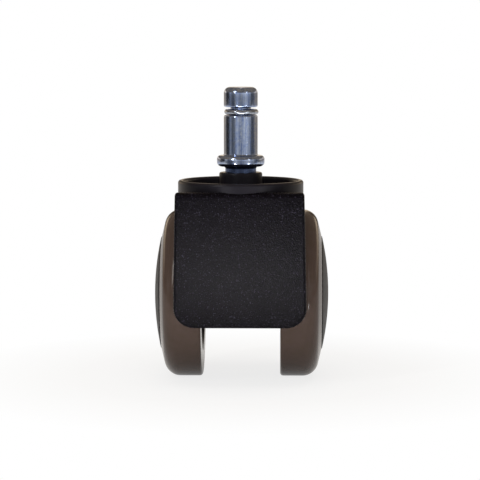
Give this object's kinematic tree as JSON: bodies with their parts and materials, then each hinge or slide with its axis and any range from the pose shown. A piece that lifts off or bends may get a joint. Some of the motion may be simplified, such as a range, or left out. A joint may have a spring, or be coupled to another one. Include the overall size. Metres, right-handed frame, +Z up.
{
  "type": "office chair castor",
  "caption": "Black hooded twin-wheel office chair castor with a zinc-plated grip-ring stem, taupe soft treads and domed black wheel covers.",
  "frame": {"origin": "on the stem's axis, at the upper face of the stem's flange, where the chair leg's socket rests", "axes": "+Z up along the stem, +X along the axle, and the hood's front faces -Y, with the axle behind the stem at +Y"},
  "size_m": [0.0572, 0.0662, 0.0958],
  "materials": {
    "zinc_steel": "polished zinc plate",
    "spring_steel": "drawn spring wire",
    "black_nylon": "fine moulded grain",
    "core_nylon": "plain moulded",
    "cover_nylon": "semi-gloss moulded",
    "acetal": "smooth",
    "taupe_polyurethane": "glossy soft tread"
  },
  "bodies": {
    "stem": {"stem": "zinc_steel", "grip_ring": "spring_steel", "stem_retaining_ring": "spring_steel"},
    "housing": {"housing": "black_nylon", "axle": "zinc_steel", "thrust_disc": "zinc_steel", "washer_left": "acetal", "washer_right": "acetal", "clip_left": "spring_steel", "clip_right": "spring_steel"},
    "wheel_left": {"core_left": "core_nylon", "bush_left": "acetal", "tread_left": "taupe_polyurethane", "cover_left": "cover_nylon"},
    "wheel_right": {"core_right": "core_nylon", "bush_right": "acetal", "tread_right": "taupe_polyurethane", "cover_right": "cover_nylon"}
  },
  "joints": [
    {"name": "swivel", "type": "hinge", "parent": "stem", "child": "housing", "pos_m": [0, 0, 0], "axis": [0, 0, 1], "continuous": true},
    {"name": "wheel_left_turn", "type": "hinge", "parent": "housing", "child": "wheel_left", "pos_m": [0, 0.018, -0.0465], "axis": [1, 0, 0], "continuous": true},
    {"name": "wheel_right_turn", "type": "hinge", "parent": "housing", "child": "wheel_right", "pos_m": [0, 0.018, -0.0465], "axis": [1, 0, 0], "continuous": true}
  ]
}
